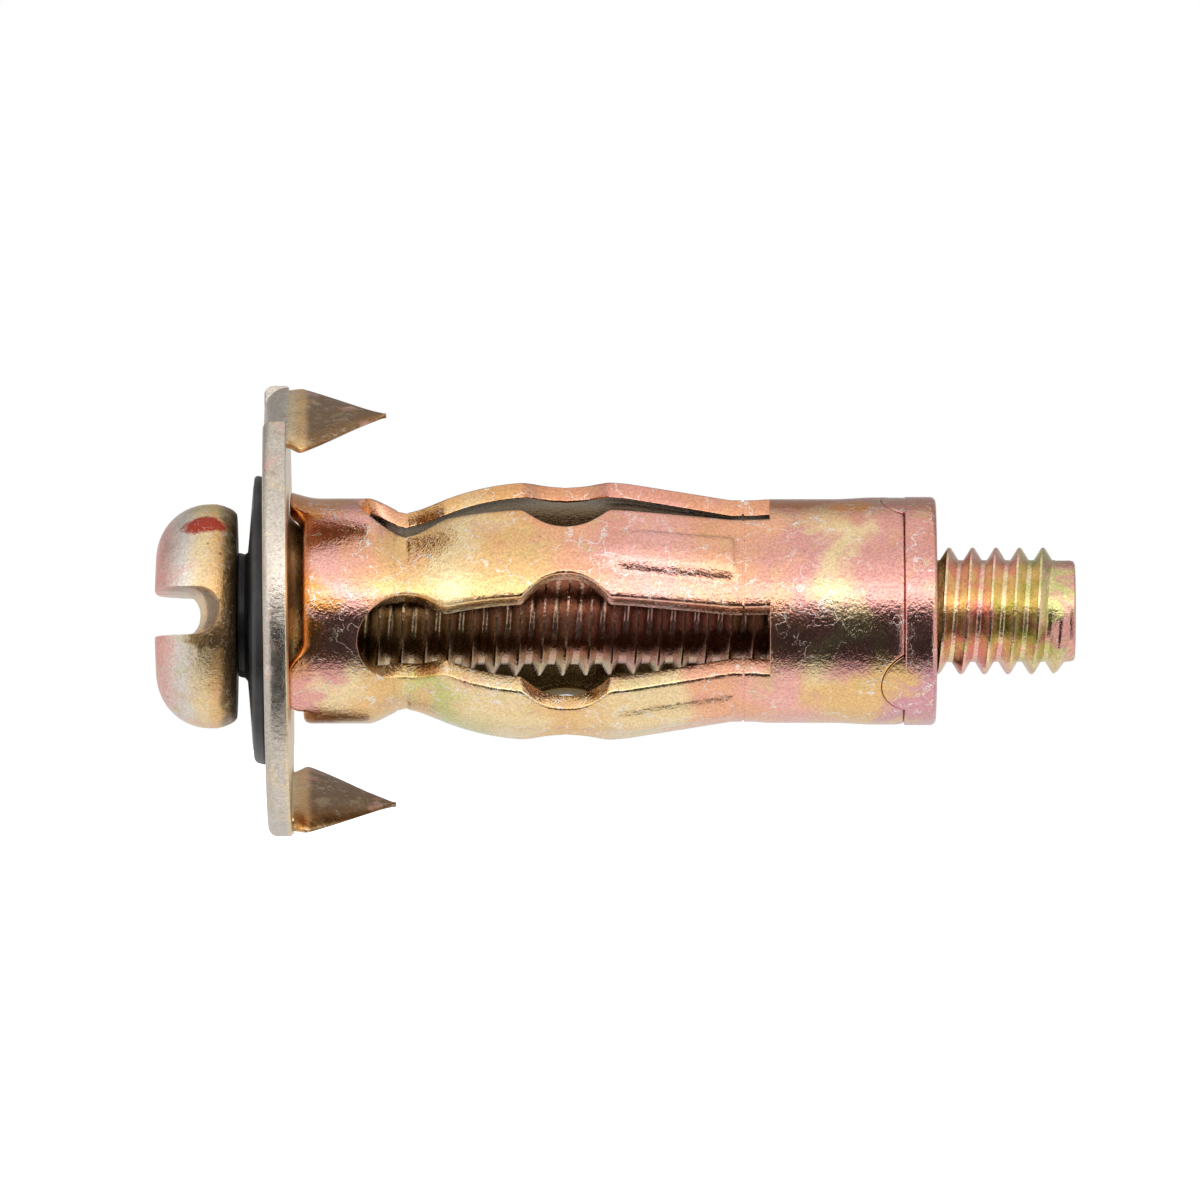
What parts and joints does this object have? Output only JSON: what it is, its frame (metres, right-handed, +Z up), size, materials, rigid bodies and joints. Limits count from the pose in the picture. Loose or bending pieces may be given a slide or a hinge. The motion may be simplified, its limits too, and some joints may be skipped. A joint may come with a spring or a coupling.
{
  "type": "hollow-wall anchor",
  "caption": "Metal hollow-wall anchor: slotted folding sleeve on a spiked flange, drawn up by a slotted pan-head screw.",
  "frame": {"origin": "centre of the flange's wall face, on the axis of the anchor", "axes": "+X along the axis from the wall face into the wall, toward the screw tip; +Z up, with the prongs at 22 degrees from it"},
  "size_m": [0.0274, 0.0134, 0.0136],
  "materials": {
    "yellow_zinc": "iridescent yellow-chromate zinc plating on steel",
    "black_plastic": "satin black moulded plastic"
  },
  "bodies": {
    "anchor_base": {"spiked_flange": "yellow_zinc", "sleeve_front_collar": "yellow_zinc"},
    "washer": {"retaining_washer": "black_plastic"},
    "screw": {"screw": "yellow_zinc"},
    "leg_1_front": {"leg_1_front_panel": "yellow_zinc"},
    "leg_2_front": {"leg_2_front_panel": "yellow_zinc"},
    "leg_3_front": {"leg_3_front_panel": "yellow_zinc"},
    "leg_4_front": {"leg_4_front_panel": "yellow_zinc"},
    "leg_1_rear": {"leg_1_rear_panel": "yellow_zinc"},
    "leg_2_rear": {"leg_2_rear_panel": "yellow_zinc"},
    "leg_3_rear": {"leg_3_rear_panel": "yellow_zinc"},
    "leg_4_rear": {"leg_4_rear_panel": "yellow_zinc"},
    "nut_end": {"sleeve_rear_collar": "yellow_zinc", "nut": "yellow_zinc"}
  },
  "joints": [
    {"name": "screw_backout", "type": "slide", "parent": "anchor_base", "child": "washer", "axis": [-1, 0, 0], "range_m": [0, 0.0245]},
    {"name": "screw_turn", "type": "hinge", "parent": "washer", "child": "screw", "pos_m": [0, 0, 0], "axis": [1, 0, 0], "range_deg": [0, 3995]},
    {"name": "leg_1_front_crease", "type": "hinge", "parent": "anchor_base", "child": "leg_1_front", "pos_m": [0.003, -0.00284, 0.00158], "axis": [0, -0.4848, -0.8746], "range_deg": [0, 75.2]},
    {"name": "leg_2_front_crease", "type": "hinge", "parent": "anchor_base", "child": "leg_2_front", "pos_m": [0.003, -0.00158, -0.00284], "axis": [0, 0.8746, -0.4848], "range_deg": [0, 75.2]},
    {"name": "leg_3_front_crease", "type": "hinge", "parent": "anchor_base", "child": "leg_3_front", "pos_m": [0.003, 0.00284, -0.00158], "axis": [0, 0.4848, 0.8746], "range_deg": [0, 75.2]},
    {"name": "leg_4_front_crease", "type": "hinge", "parent": "anchor_base", "child": "leg_4_front", "pos_m": [0.003, 0.00158, 0.00284], "axis": [0, -0.8746, 0.4848], "range_deg": [0, 75.2]},
    {"name": "leg_1_middle_crease", "type": "hinge", "parent": "leg_1_front", "child": "leg_1_rear", "pos_m": [0.00824, -0.00284, 0.00158], "axis": [0, -0.4848, -0.8746], "range_deg": [-150.4, 0]},
    {"name": "leg_2_middle_crease", "type": "hinge", "parent": "leg_2_front", "child": "leg_2_rear", "pos_m": [0.00824, -0.00158, -0.00284], "axis": [0, 0.8746, -0.4848], "range_deg": [-150.4, 0]},
    {"name": "leg_3_middle_crease", "type": "hinge", "parent": "leg_3_front", "child": "leg_3_rear", "pos_m": [0.00824, 0.00284, -0.00158], "axis": [0, 0.4848, 0.8746], "range_deg": [-150.4, 0]},
    {"name": "leg_4_middle_crease", "type": "hinge", "parent": "leg_4_front", "child": "leg_4_rear", "pos_m": [0.00824, 0.00158, 0.00284], "axis": [0, -0.8746, 0.4848], "range_deg": [-150.4, 0]},
    {"name": "leg_1_rear_crease", "type": "hinge", "parent": "leg_1_rear", "child": "nut_end", "pos_m": [0.01348, -0.00284, 0.00158], "axis": [0, -0.4848, -0.8746], "range_deg": [0, 75.2]}
  ],
  "couplings": [
    {"joint": "leg_1_front_crease", "follows": "screw_turn", "ratio": 0.018773},
    {"joint": "leg_2_front_crease", "follows": "screw_turn", "ratio": 0.018773},
    {"joint": "leg_3_front_crease", "follows": "screw_turn", "ratio": 0.018773},
    {"joint": "leg_4_front_crease", "follows": "screw_turn", "ratio": 0.018773},
    {"joint": "leg_1_middle_crease", "follows": "screw_turn", "ratio": -0.037547},
    {"joint": "leg_2_middle_crease", "follows": "screw_turn", "ratio": -0.037547},
    {"joint": "leg_3_middle_crease", "follows": "screw_turn", "ratio": -0.037547},
    {"joint": "leg_4_middle_crease", "follows": "screw_turn", "ratio": -0.037547},
    {"joint": "leg_1_rear_crease", "follows": "screw_turn", "ratio": 0.018773}
  ]
}
